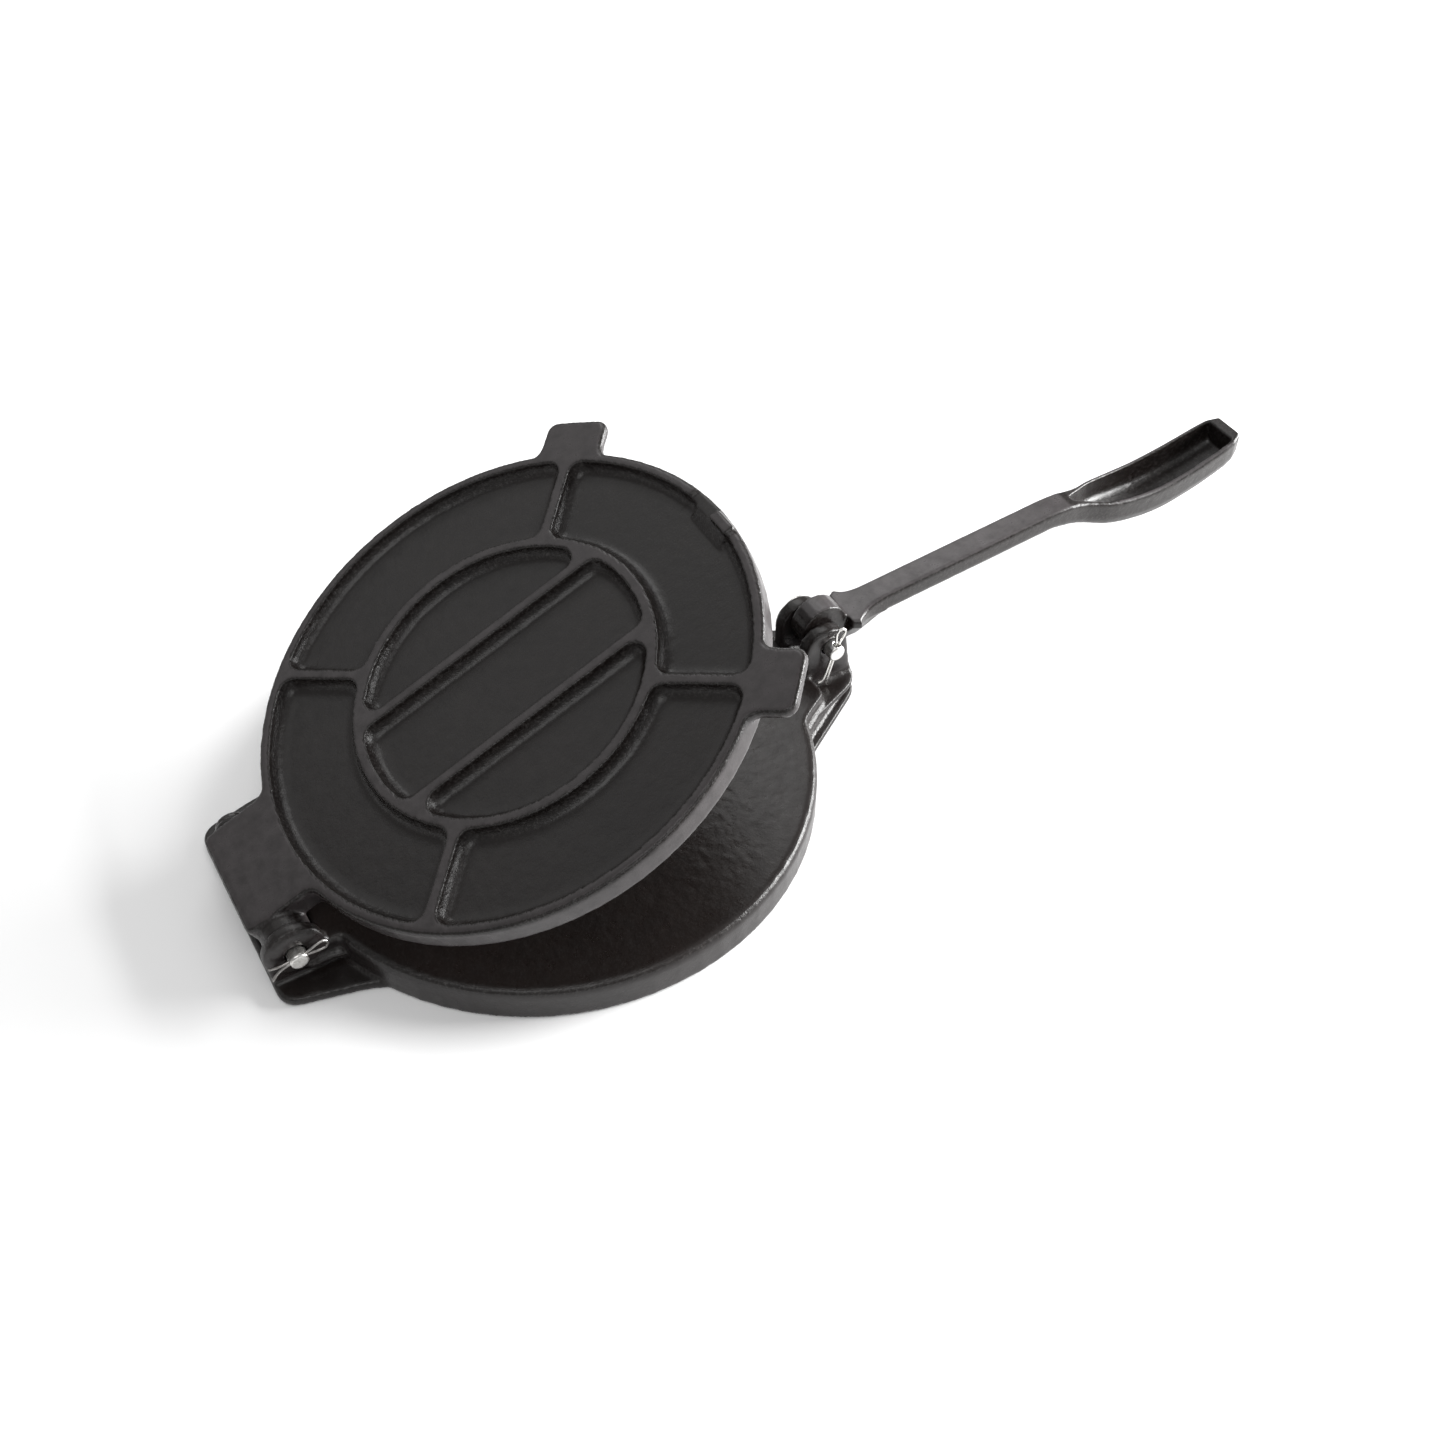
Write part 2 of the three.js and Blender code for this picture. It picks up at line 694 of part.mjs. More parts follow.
function shoulders() {
  const { heel, backTop, tip, tipHalfWidth, heelHalfWidth, rootTop, keelDepth } = shoulder;
  const flare = new THREE.CubicBezierCurve(
    new THREE.Vector2(tip, tipHalfWidth),
    new THREE.Vector2(tip + shoulder.steepShare * shoulder.flareLength, heelHalfWidth),
    new THREE.Vector2(tip + shoulder.levelShare * shoulder.flareLength, lever.armHalfWidth),
    new THREE.Vector2(flareEnd, lever.armHalfWidth),
  );
  const plan = [new THREE.Vector2(heel, heelHalfWidth), ...flare.getPoints(sectionSteps)];
  const body = loft(plan.map((point) => shoulderSection(point.x, point.y)));
  const side = crosswise([
    new THREE.Vector2(heel, -keelDepth),
    new THREE.Vector2(flareEnd, -keelDepth),
    new THREE.Vector2(flareEnd, lever.armTop),
    new THREE.Vector2(backTop, lever.armTop),
    new THREE.Vector2(backTop, rootTop),
  ], -tipHalfWidth, tipHalfWidth);
  return body.intersect(side);
}

// Smooth run of one column of the station table at a place along the handle
function handleShare(column, along) {
  const points = handleShares.map((row) => new THREE.Vector2(row[0], row[column]));
  const next = Math.max(1, points.findIndex((point) => point.x >= along));
  const [from, to] = [points[next - 1], points[next]];
  const before = points[Math.max(0, next - 2)];
  const after = points[Math.min(points.length - 1, next + 1)];
  const startSlope = (to.y - before.y) / (to.x - before.x);
  const endSlope = (after.y - from.y) / (after.x - from.x);
  const width = to.x - from.x;
  const t = (along - from.x) / width;
  const hermite = [(1 + 2 * t) * (1 - t) ** 2, t * (1 - t) ** 2, t * t * (3 - 2 * t), t * t * (t - 1)];
  return hermite[0] * from.y + hermite[1] * width * startSlope + hermite[2] * to.y + hermite[3] * width * endSlope;
}

function handleSizes(along) {
  return {
    x: lever.armEnd + along * handle.length,
    halfWidth: handle.halfWidth * handleShare(1, along),
    top: lever.armTop - handle.dip * handleShare(2, along),
    depth: handle.depth * handleShare(3, along),
    roundness: handleShare(4, along),
  };
}

// Lower half of a section from its left edge to its right one, between a box and an ellipse
function bowl(x, halfWidth, top, depth, roundness) {
  return Array.from({ length: sectionSteps + 1 }, (_, k) => {
    const angle = Math.PI * (1 + k / sectionSteps);
    const across = Math.cos(angle);
    const y = halfWidth * Math.sign(across) * Math.abs(across) ** roundness;
    const z = top - depth * Math.abs(Math.sin(angle)) ** roundness;
    return new THREE.Vector3(x, y, z);
  });
}

function outerSection({ x, halfWidth, top, depth, roundness }) {
  const corner = lever.armCorner;
  return [
    new THREE.Vector3(x, halfWidth - corner, top),
    new THREE.Vector3(x, corner - halfWidth, top),
    ...bowl(x, halfWidth, top - corner, depth - corner, roundness),
  ];
}

function hollowSection({ x, halfWidth, top, depth, roundness }, along) {
  const grown = Math.min(1, handle.tipStartShare + (along * handle.length - handle.hollowStart) / handle.hollowTip);
  const fullness = Math.sqrt(1 - (1 - grown) ** 2);
  const half = (halfWidth - handle.wall) * fullness;
  return [
    new THREE.Vector3(x, half, top + overrun),
    new THREE.Vector3(x, -half, top + overrun),
    ...bowl(x, half, top, (depth - handle.floor) * fullness, roundness),
  ];
}

function spread(from, to, count) {
  return Array.from({ length: count + 1 }, (_, k) => from + ((to - from) * k) / count);
}

function handleBody() {
  const armSizes = { ...handleSizes(0), halfWidth: lever.armHalfWidth, depth: lever.armThickness };
  const start = outerSection({ ...armSizes, x: flareEnd - lever.armCorner });
  const outer = spread(0, 1, handleStations).map((along) => outerSection(handleSizes(along)));
  return loft([start, outerSection(armSizes), ...outer.slice(1)]);
}

function handleHollow() {
  const from = handle.hollowStart / handle.length;
  const to = 1 - handle.endWall / handle.length;
  return loft(spread(from, to, handleStations).map((along) => hollowSection(handleSizes(along), along)));
}

// Room that the lever leaves round both ears of the fork, at rest and while it swings up
function earRoom() {
  const atRest = turned(forkOutline(clearance), -leverRise);
  const from = forkEarInner - clearance;
  const to = forkOuter + overrun;
  const room = crosswise(atRest, from, to).add(cylinderAcross(0, 0, crownSweep + clearance, from, to));
  return [room, room.mirror([0, 1, 0])];
}

function makeLever() {
  const root = crosswise([
    new THREE.Vector2(0, hub.offsetZ - hub.radius),
    new THREE.Vector2(shoulder.heel, -shoulder.keelDepth),
    new THREE.Vector2(shoulder.tip, -shoulder.keelDepth),
    new THREE.Vector2(shoulder.tip, shoulder.rootTop),
    new THREE.Vector2(0, hub.offsetZ),
  ], -hubHalfWidth, hubHalfWidth);
  const boss = cylinderAcross(hub.offsetX, hub.offsetZ, hub.radius, -hubHalfWidth, hubHalfWidth);
  const bore = cylinderAcross(0, 0, pin.boreDiameter / 2, -hubHalfWidth - overrun, hubHalfWidth + overrun);
  const whole = [shoulders(), boss, root].reduce((sum, part) => sum.add(part), handleBody());
  return [handleHollow(), ...earRoom(), bore].reduce((rest, cut) => rest.subtract(cut), whole);
}

// Pin along Y with a domed head, drilled across for its split pin
function makePin({ face, headSide, turn, stickOut, pinOverhang }) {
  const radius = pin.diameter / 2;
  const headRadius = pin.headDiameter / 2;
  const headFace = headSide + clearance;
  const rim = pin.headHeight * pin.rimShare;
  const dome = new THREE.EllipseCurve(0, headFace + rim, headRadius, pin.headHeight - rim, 0, Math.PI / 2);
  const end = -face - pinOverhang;
  const profile = [
    new THREE.Vector2(0, end),
    new THREE.Vector2(radius - pin.chamfer, end),
    new THREE.Vector2(radius, end + pin.chamfer),
    new THREE.Vector2(radius, headFace),
    new THREE.Vector2(headRadius, headFace),
    ...dome.getPoints(domeSteps),
  ];
  profile.at(-1).x = 0;
  const shank = solid(new THREE.LatheGeometry(profile, 2 * arcSteps(headRadius, Math.PI)));
  const holeRadius = cotter.wire + cotter.legGap / 2 + cotter.holePlay;
  const holeSides = 2 * arcSteps(holeRadius, Math.PI);
  const drill = new THREE.CylinderGeometry(holeRadius, holeRadius, pin.diameter + overrun, holeSides);
  drill.rotateZ(Math.PI / 2);
  drill.rotateY(-turn);
  drill.translate(0, -face - stickOut, 0);
  return shank.subtract(solid(drill));
}

// One leg of a split pin from the pin's side to its tip, bent outwards and hooked at the end
function cotterLeg(side, length, bend, hook) {
  const straight = length - hook;
  const bent = spread(cotter.bendStart, straight, 2).map((x) => {
    const share = (x - cotter.bendStart) / (straight - cotter.bendStart);
    return new THREE.Vector2(x, cotterHalf + bend * share ** 2);
  });
  const tip = arc(straight, cotterHalf + bend + hook, hook, -Math.PI / 2, Math.PI / 2).slice(1);
  const points = [
    new THREE.Vector2(-pin.diameter / 2, cotterHalf),
    new THREE.Vector2(0, cotterHalf),
    ...bent,
    ...(hook > 0 ? tip : []),
  ];
  return points.map((point) => new THREE.Vector3(point.x, side * point.y, 0));
}

// Split pin: one wire bent to an eye, both legs through the pin and spread apart behind it
function makeCotter({ face, turn, stickOut, legReach, longBend, shortBend, hook }) {
  const eyeRadius = cotterEye.innerRadius + cotter.wire / 2;
  const eye = [120, 60, 0, -60, -120].map((angle) => new THREE.Vector3(
    -cotterEye.distance - eyeRadius * Math.cos(angle * degree),
    eyeRadius * Math.sin(angle * degree),
    0,
  ));
  const points = [
    ...cotterLeg(1, legReach, longBend, 0).reverse(),
    ...eye,
    ...cotterLeg(-1, legReach * cotter.shortLegShare, shortBend, hook),
  ];
  const path = new THREE.CatmullRomCurve3(points);
  const section = new THREE.Shape();
  section.absarc(0, 0, cotter.wire / 2, 0, 2 * Math.PI, false);
  const wire = new THREE.ExtrudeGeometry(section, {
    steps: points.length * cotterSteps,
    extrudePath: path,
    curveSegments: Math.ceil(cotterSides / 2),
  });
  wire.rotateX(Math.PI / 2);
  wire.rotateY(-turn);
  wire.translate(0, -face - stickOut, 0);
  return solid(wire);
}

// Split pin of the fork, its legs down to the ledge and its hooked end close to the tongue
function forkFitting() {
  const { turn, ledgeGap, tongueGap, shortBend } = forkCotter;
  const legReach = (forkHeight - neck.ledgeTop - ledgeGap) / -Math.sin(turn);
  const room = forkReach - tongueReach - tongueGap - cotter.wire / 2;
  const tipReach = (room + legReach * cotter.shortLegShare * Math.cos(turn)) / -Math.sin(turn);
  const hook = tipReach - cotterHalf - shortBend;
  return { ...forkCotter, face: forkOuter, headSide: forkOuter, legReach, hook };
}

// Scene graph
const iron = { color: '#2c2826', roughness: 0.62, metalness: 0.35 };
const steel = { color: '#c4c3bf', roughness: 0.32, metalness: 0.9 };

function piece(name, body, look) {
  const { vertProperties, triVerts } = body.getMesh();
  const geometry = new THREE.BufferGeometry();
  geometry.setAttribute('position', new THREE.BufferAttribute(vertProperties, 3));
  geometry.setIndex(new THREE.BufferAttribute(triVerts, 1));
  geometry.computeVertexNormals();
  const mesh = new THREE.Mesh(geometry, new THREE.MeshStandardMaterial(look));
  mesh.name = name;
  return mesh;
}

function axisGroup(x, z, ...meshes) {
  const group = new THREE.Group();
  group.position.set(x, 0, z);
  group.add(...meshes);
  return group;
}

const press = new THREE.Group();
press.add(piece('base_plate', makeBase(), iron));

const openPlate = axisGroup(-hingeReach, hingeHeight, piece('top_plate', makePlate(), iron));
openPlate.rotation.y = -opening;

const raisedLever = axisGroup(forkReach, forkHeight, piece('press_lever', makeLever(), iron));
raisedLever.rotation.y = -leverRise;

const hingeSizes = { ...hingeCotter, face: hingeFace, headSide: hingeFarFace };
const hingeFittings = axisGroup(
  -hingeReach,
  hingeHeight,
  piece('hinge_pin', makePin(hingeSizes), steel),
  piece('hinge_cotter', makeCotter(hingeSizes), steel),
);
const forkSizes = forkFitting();
const forkFittings = axisGroup(
  forkReach,
  forkHeight,
  piece('lever_pin', makePin(forkSizes), steel),
  piece('lever_cotter', makeCotter(forkSizes), steel),
);
press.add(openPlate, raisedLever, hingeFittings, forkFittings);

export default press;
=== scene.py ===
import math

import bpy
import numpy as np
from mathutils import Matrix, Vector, noise


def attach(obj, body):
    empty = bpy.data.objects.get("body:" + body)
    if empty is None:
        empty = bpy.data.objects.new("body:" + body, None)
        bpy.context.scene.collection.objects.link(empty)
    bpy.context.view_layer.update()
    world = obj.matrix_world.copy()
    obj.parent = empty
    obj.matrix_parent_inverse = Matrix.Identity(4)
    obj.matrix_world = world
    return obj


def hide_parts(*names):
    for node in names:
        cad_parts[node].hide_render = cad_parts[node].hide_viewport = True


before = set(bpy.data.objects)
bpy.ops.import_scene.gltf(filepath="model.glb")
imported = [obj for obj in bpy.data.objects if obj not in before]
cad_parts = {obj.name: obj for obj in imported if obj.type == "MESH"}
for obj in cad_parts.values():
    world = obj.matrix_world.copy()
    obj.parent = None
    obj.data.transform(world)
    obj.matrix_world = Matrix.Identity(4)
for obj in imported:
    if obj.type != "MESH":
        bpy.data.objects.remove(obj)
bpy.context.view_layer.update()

scene = bpy.context.scene
mm = 0.001

# Camera at the photograph's angle, in degrees
camera_azimuth, camera_elevation, camera_roll = -30.448, 47.292, 0.118
camera_target = Vector((62.241, -3.722, 3.005)) * mm
camera_distance = 556.48 * mm
camera_lens = 41.59
camera_sensor = 36

# Studio: a pale floor, and lamps by name, azimuth, elevation, distance, size and power
floor_half_size = 4.0
floor_white = (0.93, 0.93, 0.93, 1)
lamps = (
    ("right", -14, 19, 1.2, (0.75, 0.55), 40),
    ("back_right", 63, 48, 1.2, (0.6, 0.5), 2.2),
    ("back", 105, 46, 1.2, (1.0, 0.7), 1.2),
    ("front_top", -120, 64, 1.5, (1.0, 1.0), 7),
)
lamp_aim = Vector((0, 0, 0.01))
world_strength = 0.36

# Colours of the iron, and of the dirt on a pin's hidden end
seasoned_tones = ((0.0060, 0.0043, 0.0038), (0.0096, 0.0069, 0.0061))
soot_tone = (0.0052, 0.0038, 0.0035)
fleck_tone = (0.072, 0.066, 0.064)
plate_rub_tone = (0.0360, 0.0312, 0.0318)
lever_rub_tone = (0.0540, 0.0490, 0.0500)
rub_spread = 1.25
dirt_tone = (0.014, 0.011, 0.010)
dirt_fade = 0.5 * mm

# Noise in the materials, in cells per metre
cloud_scale, mottle_scale, speck_scale, pit_scale = 38, 260, 1050, 720
tarnish_scale, draw_mark_scale = 420, 900
draw_mark_stretch = (1, 6, 1)

# Sand grain in the meshes: cells per metre, height, and how far it sinks below the solid
coarse_grain = (330, 0.09 * mm, 0.05 * mm)
fine_grain = (820, 0.05 * mm, 0.03 * mm)
least_grain = 0.1

# How far a skin is rubbed down from full grain, which is 1
base_top_rub, base_wall_rub = 0.68, 0.75
plate_top_rub, rib_top_rub, plate_wall_rub = 0.65, 0.25, 0.87
lever_base_grain, lever_top_rub, scoop_grain = 0.36, 0.24, 0.2

# The press face's leathery ripples: cells per metre and height, and how far both sink
wide_ripple = (310, 0.065 * mm)
narrow_ripple = (640, 0.07 * mm)
ripple_sink = 0.09 * mm

# The upper plate's frame: its hinge, the two directions, its middle and its ribs' tops
opening = math.radians(22.97)
plate_along = np.array((math.cos(opening), 0, math.sin(opening)))
plate_up = np.array((-math.sin(opening), 0, math.cos(opening)))
hinge = np.array((-94.72, 0, 13.6)) * mm
hinge_to_middle = 94.72 * mm
hinge_to_rib_tops = 8.3 * mm

# Places on the castings
pocket_radius = 79.5 * mm
pocket_depth = 6 * mm
recess_start = 66 * mm
recess_half_width = 13 * mm
plate_wall_radius = 80.5 * mm
base_wall_radius = 85 * mm
wall_fade = 1 * mm
press_face_radius = 77 * mm
press_face_fade = 3 * mm
scoop_start = 204 * mm
scoop_fade = 4 * mm
scoop_half_width = 7 * mm

# Rounding of the upper plate's inner corners
fillet_rounds = 48
fillet_fade = 0.04 * mm


# Camera
def view_axes(azimuth, elevation, roll):
    a, e, r = (math.radians(angle) for angle in (azimuth, elevation, roll))
    back = Vector((math.sin(a) * math.cos(e), -math.cos(a) * math.cos(e), math.sin(e)))
    right = Vector((math.cos(a), math.sin(a), 0))
    up = back.cross(right)
    return (
        math.cos(r) * right + math.sin(r) * up,
        math.cos(r) * up - math.sin(r) * right,
        back,
    )


def make_camera():
    right, up, back = view_axes(camera_azimuth, camera_elevation, camera_roll)
    data = bpy.data.cameras.new("camera")
    data.sensor_width = camera_sensor
    data.sensor_height = camera_sensor
    data.sensor_fit = "HORIZONTAL"
    data.lens = camera_lens
    data.clip_start = 0.01
    data.clip_end = 20
    camera = bpy.data.objects.new("camera", data)
    scene.collection.objects.link(camera)
    matrix = Matrix((right, up, back)).transposed().to_4x4()
    matrix.translation = camera_target + back * camera_distance
    camera.matrix_world = matrix
    scene.camera = camera


# Studio
def make_floor():
    mesh = bpy.data.meshes.new("floor")
    signs = ((-1, -1), (1, -1), (1, 1), (-1, 1))
    corners = [(x * floor_half_size, y * floor_half_size, 0) for x, y in signs]
    mesh.from_pydata(corners, [], [(0, 1, 2, 3)])
    floor = bpy.data.objects.new("floor", mesh)
    scene.collection.objects.link(floor)
    material = bpy.data.materials.new("floor_paper")
    material.use_nodes = True
    shader = material.node_tree.nodes["Principled BSDF"]
    shader.inputs["Base Color"].default_value = floor_white
    shader.inputs["Roughness"].default_value = 0.8
    shader.inputs["Specular IOR Level"].default_value = 0.1
    mesh.materials.append(material)


def around(azimuth, elevation, distance):
    """The place that lies in this direction from the origin, anticlockwise from +X."""
    a, e = math.radians(azimuth), math.radians(elevation)
    flat = distance * math.cos(e)
    return Vector((flat * math.cos(a), flat * math.sin(a), distance * math.sin(e)))


def softbox(name, azimuth, elevation, distance, size, power):
    place = around(azimuth, elevation, distance)
    data = bpy.data.lights.new(name, "AREA")
    data.shape = "RECTANGLE"
    data.size, data.size_y = size
    data.energy = power
    light = bpy.data.objects.new(name, data)
    scene.collection.objects.link(light)
    light.location = place
    light.rotation_mode = "QUATERNION"
    light.rotation_quaternion = (lamp_aim - place).to_track_quat("-Z", "Y")


def make_studio():
    make_floor()
    for lamp in lamps:
        softbox(*lamp)
    world = bpy.data.worlds.new("studio")
    world.use_nodes = True
    background = world.node_tree.nodes["Background"]
    background.inputs["Color"].default_value = (1, 1, 1, 1)
    background.inputs["Strength"].default_value = world_strength
    scene.world = world
    scene.view_settings.view_transform = "Standard"


# Materials
class Nodes:
    """A new node material, and short ways to add nodes to it."""

    def __init__(self, name):
        self.material = bpy.data.materials.new(name)
        self.material.use_nodes = True
        self.tree = self.material.node_tree
        self.shader = self.tree.nodes["Principled BSDF"]
        self.place = self.add("ShaderNodeTexCoord").outputs["Object"]

    def add(self, kind, **settings):
        node = self.tree.nodes.new(kind)
        for key, value in settings.items():
            setattr(node, key, value)
        return node

    def link(self, source, target):
        self.tree.links.new(source, target)

    def noise(self, scale, detail, roughness=0.55, stretch=None):
        node = self.add("ShaderNodeTexNoise")
        node.inputs["Scale"].default_value = scale
        node.inputs["Detail"].default_value = detail
        node.inputs["Roughness"].default_value = roughness
        place = self.place
        if stretch:
            mapping = self.add("ShaderNodeMapping")
            mapping.inputs["Scale"].default_value = stretch
            self.link(place, mapping.inputs["Vector"])
            place = mapping.outputs["Vector"]
        self.link(place, node.inputs["Vector"])
        return node.outputs["Fac"]

    def pits(self, scale):
        node = self.add("ShaderNodeTexVoronoi")
        node.inputs["Scale"].default_value = scale
        self.link(self.place, node.inputs["Vector"])
        return node.outputs["Distance"]

    def span(self, source, before, after=(0, 1)):
        """Stretches the range before to the range after, and clamps it there."""
        node = self.add("ShaderNodeMapRange")
        node.inputs["From Min"].default_value, node.inputs["From Max"].default_value = before
        node.inputs["To Min"].default_value, node.inputs["To Max"].default_value = after
        self.link(source, node.inputs["Value"])
        return node.outputs["Result"]

    def math(self, operation, first, second):
        node = self.add("ShaderNodeMath", operation=operation)
        for slot, value in zip(node.inputs, (first, second)):
            self.link(value, slot)
        return node.outputs["Value"]

    def mix(self, factor, first, second):
        """Mixes two colours, each a socket or three numbers."""
        node = self.add("ShaderNodeMix", data_type="RGBA")
        self.link(factor, node.inputs["Factor"])
        color_slots, color_result = node.inputs[6:8], node.outputs[2]
        for slot, value in zip(color_slots, (first, second)):
            if isinstance(value, tuple):
                slot.default_value = (*value, 1)
            else:
                self.link(value, slot)
        return color_result

    def attribute(self, name):
        node = self.add("ShaderNodeAttribute", attribute_name=name)
        return node.outputs["Fac"]

    def bump(self, height, strength, distance, below=None):
        node = self.add("ShaderNodeBump")
        node.inputs["Strength"].default_value = strength
        node.inputs["Distance"].default_value = distance
        self.link(height, node.inputs["Height"])
        if below:
            self.link(below, node.inputs["Normal"])
        return node.outputs["Normal"]


def iron_material(name, rub_tone, flecks):
    """Cast iron, seasoned nearly black: satin where smooth, grainy where the sand left it so."""
    n = Nodes(name)
    grain = n.attribute("sand")
    cloud = n.span(n.noise(cloud_scale, detail=5), (0.3, 0.7))
    mottle = n.noise(mottle_scale, detail=4)
    speck = n.noise(speck_scale, detail=3, roughness=0.7)
    pit = n.pits(pit_scale)

    dark = n.mix(cloud, *seasoned_tones)
    rubbed = n.mix(cloud, rub_tone, tuple(rub_spread * part for part in rub_tone))
    tone = n.mix(n.span(grain, (0.12, 0.3)), rubbed, dark)
    tone = n.mix(n.span(mottle, (0.4, 0.75), (0, 0.45)), tone, soot_tone)
    fleck_share = n.span(grain, (0.3, 1), (flecks, 0.6))
    worn = n.math("MULTIPLY", n.span(speck, (0.5, 0.78)), fleck_share)
    n.link(n.mix(worn, tone, fleck_tone), n.shader.inputs["Base Color"])

    rough = n.span(mottle, (0.25, 0.8), (0.27, 0.36))
    rough = n.math("ADD", rough, n.span(grain, (0.3, 1), (0, 0.03)))
    rough = n.math("ADD", rough, n.span(speck, (0.3, 0.8), (-0.03, 0.05)))
    n.link(rough, n.shader.inputs["Roughness"])
    n.shader.inputs["Metallic"].default_value = 0.0
    n.shader.inputs["Specular IOR Level"].default_value = 0.42
    n.shader.inputs["IOR"].default_value = 1.5

    dimples = n.bump(n.span(pit, (0, 0.35)), strength=0.2, distance=0.06 * mm)
    rubble = n.math("MULTIPLY", mottle, n.span(grain, (0, 1), (0.1, 1)))
    sand = n.bump(rubble, strength=0.6, distance=0.3 * mm, below=dimples)
    sparkle = n.math("MULTIPLY", speck, n.span(grain, (0.1, 1), (0.14, 1)))
    fine = n.bump(sparkle, strength=0.8, distance=0.2 * mm, below=sand)
    n.link(fine, n.shader.inputs["Normal"])
    return n.material


def steel_material(name, bright, dull, dirt_from=None):
    """Steel with fine draw marks and a little tarnish, blackened beyond dirt_from along a pin."""
    n = Nodes(name)
    tarnish = n.noise(tarnish_scale, detail=4)
    marks = n.noise(draw_mark_scale, detail=3, roughness=0.6, stretch=draw_mark_stretch)
    tone = n.mix(n.span(tarnish, (0.4, 0.75), (0, 0.8)), bright, dull)
    metal = n.span(tarnish, (0.4, 0.8), (1, 0.85))
    if dirt_from is not None:
        along = n.add("ShaderNodeSeparateXYZ")
        n.link(n.place, along.inputs["Vector"])
        dirt = n.span(along.outputs["Y"], (dirt_from, dirt_from + dirt_fade))
        tone = n.mix(dirt, tone, dirt_tone)
        metal = n.math("MULTIPLY", metal, n.span(dirt, (0, 1), (1, 0)))
    n.link(tone, n.shader.inputs["Base Color"])
    n.link(metal, n.shader.inputs["Metallic"])
    n.link(n.span(marks, (0.3, 0.75), (0.24, 0.42)), n.shader.inputs["Roughness"])
    n.link(n.bump(marks, strength=0.25, distance=0.04 * mm), n.shader.inputs["Normal"])
    return n.material


# Meshes
def step(low, high, value):
    """0 below low, 1 above high, and a smooth rise between them."""
    share = np.clip((value - low) / (high - low), 0, 1)
    return share * share * (3 - 2 * share)


def vertex_arrays(mesh):
    count = len(mesh.vertices)
    places, normals = np.empty(count * 3), np.empty(count * 3)
    mesh.vertices.foreach_get("co", places)
    mesh.vertex_normals.foreach_get("vector", normals)
    return places.reshape(-1, 3), normals.reshape(-1, 3)


def move_vertices(mesh, places):
    mesh.vertices.foreach_set("co", places.ravel())
    mesh.update()


def add_smoothing(piece, rounds):
    soften = piece.modifiers.new("soften", "SMOOTH")
    soften.factor = 0.5
    soften.iterations = rounds


def take_modified_mesh(piece):
    """The mesh that the piece's modifiers make of it. The modifiers come off."""
    graph = bpy.context.evaluated_depsgraph_get()
    mesh = bpy.data.meshes.new_from_object(piece.evaluated_get(graph), depsgraph=graph)
    piece.modifiers.clear()
    return mesh


def fine_copy(node, name, voxel, relax):
    """A dense, evenly divided copy of a solid, its edges softened by some rounds of relaxing."""
    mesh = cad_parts[node].data.copy()
    piece = bpy.data.objects.new(name, mesh)
    scene.collection.objects.link(piece)
    remesh = piece.modifiers.new("skin", "REMESH")
    remesh.mode = "VOXEL"
    remesh.voxel_size = voxel
    remesh.use_smooth_shade = True
    add_smoothing(piece, relax)
    piece.data = take_modified_mesh(piece)
    piece.data.name = name
    piece.data.materials.clear()
    bpy.data.meshes.remove(mesh)
    return piece


def fill_corners(piece, where):
    """Rounds the inner corners like a mould's fillets, and leaves the outer edges as they are."""
    places, normals = vertex_arrays(piece.data)
    add_smoothing(piece, fillet_rounds)
    smooth = take_modified_mesh(piece)
    rounded, _ = vertex_arrays(smooth)
    bpy.data.meshes.remove(smooth)
    outward = np.einsum("ij,ij->i", rounded - places, normals)
    share = step(0, fillet_fade, outward) * where(places)
    move_vertices(piece.data, places + (rounded - places) * share[:, None])


def ripple(places, scale, height, seed):
    shift = Vector((seed, 2 * seed, 3 * seed))
    return np.array([
        height * noise.noise(Vector(place) * scale + shift) for place in places
    ])


def inside_solid(places, solid):
    """Keeps a skin within the box of the CAD solid that it covers."""
    corners = np.array([vertex.co[:] for vertex in solid.data.vertices])
    return np.clip(places, corners.min(axis=0), corners.max(axis=0))


def sand_layer(places, layer, seed):
    scale, height, sink = layer
    return ripple(places, scale, height, seed) - sink


def sand_cast(piece, solid, grain_at, waves_at, seed):
    """Sinks the skin by sand grain, and keeps how grainy each point is for the material."""
    places, normals = vertex_arrays(piece.data)
    grain = grain_at(places, normals)
    coarse = sand_layer(places, coarse_grain, seed)
    fine = sand_layer(places, fine_grain, seed + 7)
    lift = (coarse + fine) * (least_grain + (1 - least_grain) * grain)
    lift += waves_at(places, normals, seed)
    move_vertices(piece.data, inside_solid(places + normals * lift[:, None], solid))
    piece.data.attributes.new("sand", "FLOAT", "POINT").data.foreach_set("value", grain)


# Castings and steel pieces
def make_casting(node, body, material, voxel, relax, grain_at, seed,
                 waves_at=None, fillets_at=None):
    piece = fine_copy(node, node + "_casting", voxel, relax)
    if fillets_at:
        fill_corners(piece, fillets_at)
    sand_cast(piece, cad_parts[node], grain_at, waves_at or no_waves, seed)
    piece.data.materials.append(material)
    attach(piece, body)
    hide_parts(node)


def make_steel(node, steel, voxel, relax):
    piece = fine_copy(node, node + "_steel", voxel, relax)
    places, _ = vertex_arrays(piece.data)
    move_vertices(piece.data, inside_solid(places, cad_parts[node]))
    piece.data.materials.append(steel)
    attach(piece, "base")
    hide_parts(node)


def no_waves(places, normals, seed):
    return np.zeros(len(places))


def side_wall(radius, upright, wall_radius):
    """1 on a plate's outer side wall, 0 on its level faces and further in."""
    outside = step(wall_radius, wall_radius + wall_fade, radius)
    return outside * (1 - step(0.3, 0.6, np.abs(upright)))


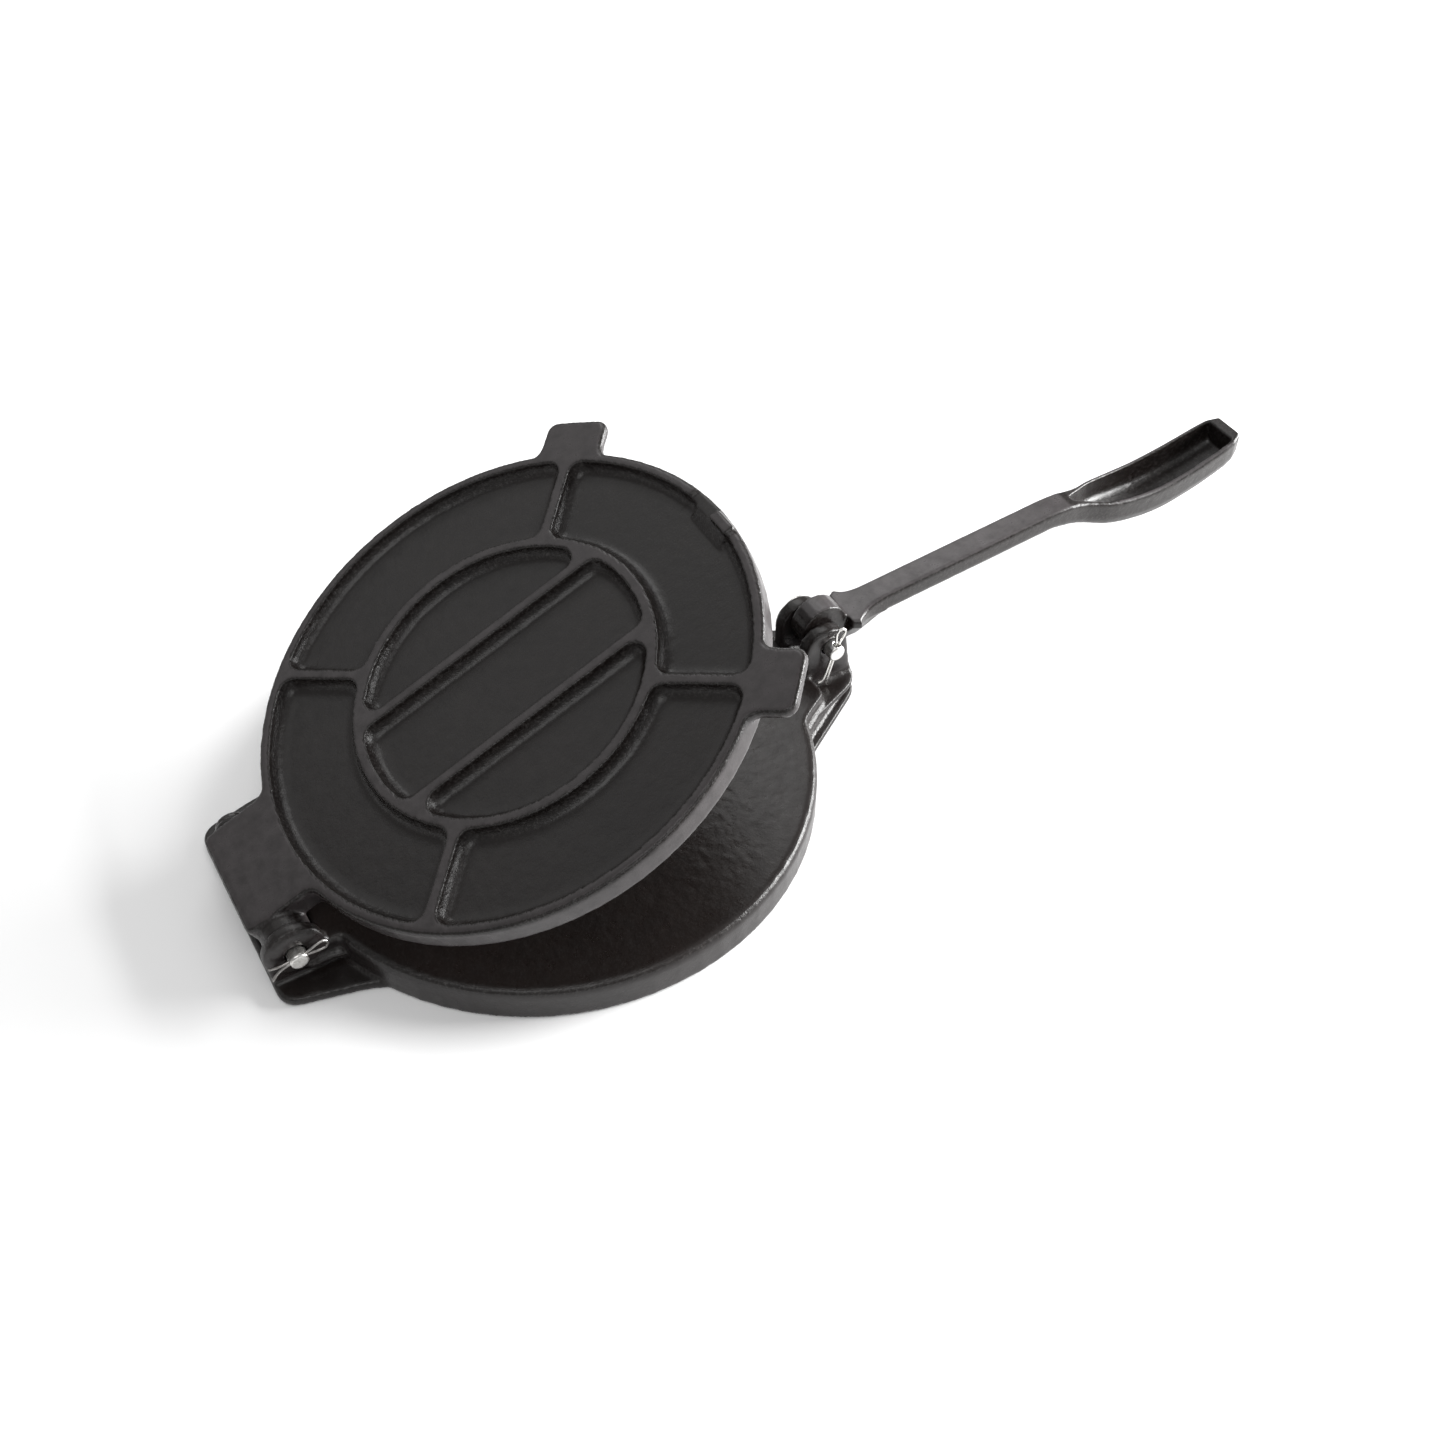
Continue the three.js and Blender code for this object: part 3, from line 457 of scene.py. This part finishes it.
def base_grain(places, normals):
    upright = normals[:, 2]
    upward = step(0.8, 0.97, upright)
    radius = np.hypot(places[:, 0], places[:, 1])
    wall = side_wall(radius, upright, base_wall_radius)
    return 1 - base_top_rub * upward - base_wall_rub * wall


def press_face_waves(places, normals, seed):
    """The leathery look of the lower plate's press face."""
    radius = np.hypot(places[:, 0], places[:, 1])
    inside = 1 - step(press_face_radius, press_face_radius + press_face_fade, radius)
    share = inside * step(0.7, 0.95, normals[:, 2])
    waves = ripple(places, *wide_ripple, seed + 20) + ripple(places, *narrow_ripple, seed + 30)
    return share * (waves - ripple_sink)


def plate_place(places):
    """Place from the upper plate's middle towards the lever, and height over its ribs' tops."""
    from_hinge = places - hinge
    return from_hinge @ plate_along - hinge_to_middle, from_hinge @ plate_up - hinge_to_rib_tops


def in_pockets(places):
    """All pockets of the upper plate, without the steep recess inside its front rim."""
    forward, height = plate_place(places)
    pocket = (np.hypot(forward, places[:, 1]) < pocket_radius) & (height > -pocket_depth)
    recess = (forward > recess_start) & (np.abs(places[:, 1]) < recess_half_width)
    return pocket & ~recess


def plate_grain(places, normals):
    forward, height = plate_place(places)
    radius = np.hypot(forward, places[:, 1])
    upright = normals @ plate_up
    facing = step(0.8, 0.96, upright)
    rib_top = facing * step(-0.9 * mm, -0.3 * mm, height)
    wall = side_wall(radius, upright, plate_wall_radius)
    return 1 - plate_top_rub * facing - rib_top_rub * rib_top - plate_wall_rub * wall


def lever_grain(places, normals):
    in_handle = step(scoop_start, scoop_start + scoop_fade, places[:, 0])
    scoop = in_handle * (np.abs(places[:, 1]) < scoop_half_width)
    top = step(0.55, 0.85, normals[:, 2]) * (1 - scoop)
    return lever_base_grain - lever_top_rub * top + scoop_grain * scoop


iron = iron_material("seasoned_iron", plate_rub_tone, flecks=0.03)
lever_iron = iron_material("rubbed_iron", lever_rub_tone, flecks=0.6)
hinge_pin_steel = steel_material(
    "pin_steel_rear", bright=(0.74, 0.73, 0.71), dull=(0.38, 0.36, 0.33), dirt_from=22 * mm)
lever_pin_steel = steel_material(
    "pin_steel_front", bright=(0.80, 0.79, 0.77), dull=(0.45, 0.43, 0.40))
# Painted shade: the rear hinge's cotter is given a darker steel than the lever's cotter, standing
# in for the shade and dark reflections on it
painted_shade_wire = steel_material(
    "wire_painted_shade", bright=(0.34, 0.33, 0.32), dull=(0.10, 0.09, 0.085))
bright_wire = steel_material(
    "wire_bright", bright=(0.78, 0.77, 0.75), dull=(0.36, 0.34, 0.31))

make_camera()
make_studio()
make_casting("base_plate", "base", iron, voxel=0.65 * mm, relax=3,
             grain_at=base_grain, seed=3, waves_at=press_face_waves)
make_casting("top_plate", "plate", iron, voxel=0.6 * mm, relax=3,
             grain_at=plate_grain, seed=5, fillets_at=in_pockets)
make_casting("press_lever", "lever", lever_iron, voxel=0.45 * mm, relax=4,
             grain_at=lever_grain, seed=9)
make_steel("hinge_pin", hinge_pin_steel, voxel=0.22 * mm, relax=4)
make_steel("lever_pin", lever_pin_steel, voxel=0.2 * mm, relax=4)
# The rear hinge's cotter takes the steel darkened as painted shade
make_steel("hinge_cotter", painted_shade_wire, voxel=0.11 * mm, relax=8)
make_steel("lever_cotter", bright_wire, voxel=0.11 * mm, relax=8)
